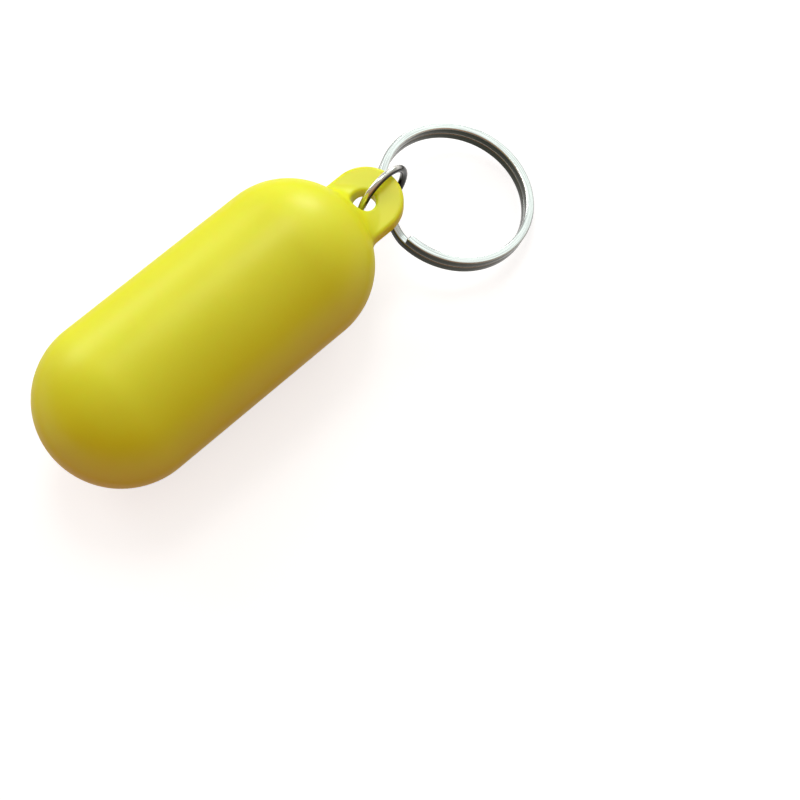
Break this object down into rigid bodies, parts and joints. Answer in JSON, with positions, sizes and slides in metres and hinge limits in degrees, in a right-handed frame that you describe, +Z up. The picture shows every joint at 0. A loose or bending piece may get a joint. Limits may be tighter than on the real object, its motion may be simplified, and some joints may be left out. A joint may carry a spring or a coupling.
{
  "type": "floating keychain",
  "caption": "Capsule-shaped hollow plastic float with a flat lug, a round-wire link ring through the lug, and a split key ring.",
  "frame": {"origin": "on the surface that the keychain lies on, under the middle of its bounding box", "axes": "+X along the float towards its lug and the key ring, +Z up"},
  "size_m": [0.1183, 0.0422, 0.035],
  "materials": {
    "float_plastic": "lemon yellow moulded plastic, satin gloss",
    "link_ring_plating": "bright nickel plate on round steel wire",
    "key_ring_steel": "bright nickel plate on flat spring-steel wire"
  },
  "bodies": {
    "float": {"float_body": "float_plastic"},
    "link": {"link_ring": "link_ring_plating"},
    "key_ring": {"key_ring": "key_ring_steel"}
  },
  "joints": [
    {"name": "link_ring_swing", "type": "hinge", "parent": "float", "child": "link", "pos_m": [0.02209, 0.00364, 0.0175], "axis": [0, 0, 1], "range_deg": [-30, 75]},
    {"name": "key_ring_flap", "type": "hinge", "parent": "link", "child": "key_ring", "pos_m": [0.02762, 0.00413, 0.01087], "axis": [-0.4787, -0.878, 0], "range_deg": [-75, 70]}
  ]
}
